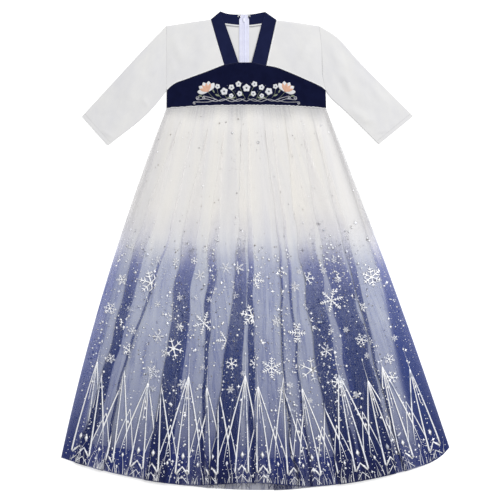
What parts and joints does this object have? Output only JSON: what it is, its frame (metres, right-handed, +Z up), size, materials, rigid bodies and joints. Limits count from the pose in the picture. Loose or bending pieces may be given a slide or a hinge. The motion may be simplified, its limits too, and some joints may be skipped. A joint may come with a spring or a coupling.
{
  "type": "child's one-piece hanfu dress",
  "caption": "One-piece dress with a crossed-look neck band, wide sleeves, a dark yoke and a long pleated sheer skirt over a lining, laid flat.",
  "frame": {"origin": "centre of the dress's bounding box, on the surface that it lies on", "axes": "+Z up from the surface; +Y from the hem to the neck; +X to the right for someone who looks down on the dress, which is the wearer's left"},
  "size_m": [0.8521, 1.0513, 0.0165],
  "materials": {
    "white_cloth": "plain woven off-white cloth, matt",
    "navy_cloth": "plain woven dark navy cloth, matt, with embroidered sprigs on the yoke",
    "sheer_blue": "sheer net, off-white at the waist and deep blue at the hem, with silver foil print",
    "lining_white": "smooth off-white lining with a soft satin sheen",
    "zip_tape": "woven zip tape and nylon coil, pale lilac white",
    "fastener_metal": "plated wire and zip slider, silver"
  },
  "bodies": {
    "root": {"back_left": "white_cloth", "back_right": "white_cloth", "front_left": "white_cloth", "front_right": "white_cloth", "sleeve_left": "white_cloth", "sleeve_right": "white_cloth", "collar_left": "navy_cloth", "collar_right": "navy_cloth", "yoke_front": "navy_cloth", "skirt_back": "sheer_blue", "skirt_front": "sheer_blue", "lining_back": "lining_white", "lining_front": "lining_white", "zip_tape_left": "zip_tape", "zip_tape_right": "zip_tape", "zip_coil": "zip_tape", "zip_slider": "fastener_metal", "neck_eye": "fastener_metal", "neck_hook": "fastener_metal"}
  },
  "joints": []
}
